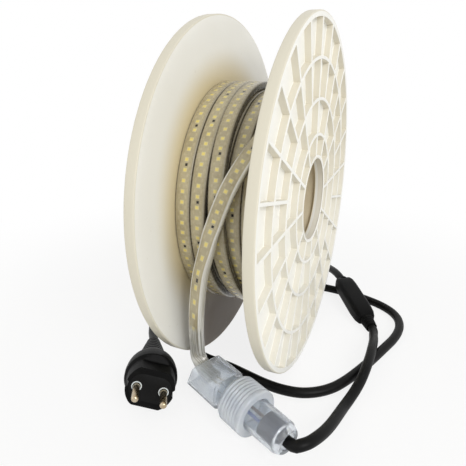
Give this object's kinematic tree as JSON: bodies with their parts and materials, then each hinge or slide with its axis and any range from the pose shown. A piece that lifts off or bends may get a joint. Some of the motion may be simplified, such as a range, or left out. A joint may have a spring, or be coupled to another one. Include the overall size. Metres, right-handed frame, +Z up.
{
  "type": "led string light reel",
  "caption": "Flat LED light strip wound on a ribbed plastic reel, with its clear connector, in-line rectifier and mains plug.",
  "frame": {"origin": "on the floor under the middle of the reel, halfway between its two flanges", "axes": "+X along the reel's axis towards the flange with the visible ribs, +Y away from the hanging strip, +Z up"},
  "size_m": [0.2305, 0.3169, 0.2696],
  "materials": {
    "reel_plastic": "moulded off-white polystyrene",
    "strip_jacket": "clear soft PVC over a cream lamp board",
    "lamp_board": "cream flexible board with yellow lamp chips",
    "clear_plastic": "clear polycarbonate, bluish grey",
    "grey_plastic": "smooth grey",
    "contact_metal": "tinned",
    "blue_insulation": "smooth wire insulation",
    "brown_insulation": "smooth wire insulation",
    "seal_rubber": "navy, matt",
    "cable_jacket": "black, slightly glossy",
    "black_plastic": "fine moulded grain",
    "black_rubber": "matt",
    "circuit_board": "solder mask",
    "component_black": "moulded epoxy",
    "pin_metal": "nickel-plated, polished"
  },
  "bodies": {
    "root": {"flange_right": "reel_plastic", "flange_left": "reel_plastic", "hub_drum": "reel_plastic", "strip_winding": "strip_jacket", "strip_tail_jacket": "strip_jacket", "strip_tail_board": "lamp_board", "strip_socket": "clear_plastic", "contact_carrier": "grey_plastic", "contact_pin_left": "contact_metal", "contact_pin_right": "contact_metal", "core_wire_blue": "blue_insulation", "core_wire_brown": "brown_insulation", "coupling_collar": "clear_plastic", "cable_housing": "clear_plastic", "cable_seal": "seal_rubber", "output_cable": "cable_jacket", "box_cover": "black_plastic", "box_base": "black_plastic", "box_relief_front": "black_rubber", "box_relief_rear": "black_rubber", "rectifier_board": "circuit_board", "bridge_rectifier": "component_black", "mains_cable": "cable_jacket", "plug_body": "black_plastic", "plug_pin_bridge": "black_plastic", "plug_pin_left": "pin_metal", "plug_pin_right": "pin_metal", "pin_ring_left": "grey_plastic", "pin_ring_right": "grey_plastic"}
  },
  "joints": []
}
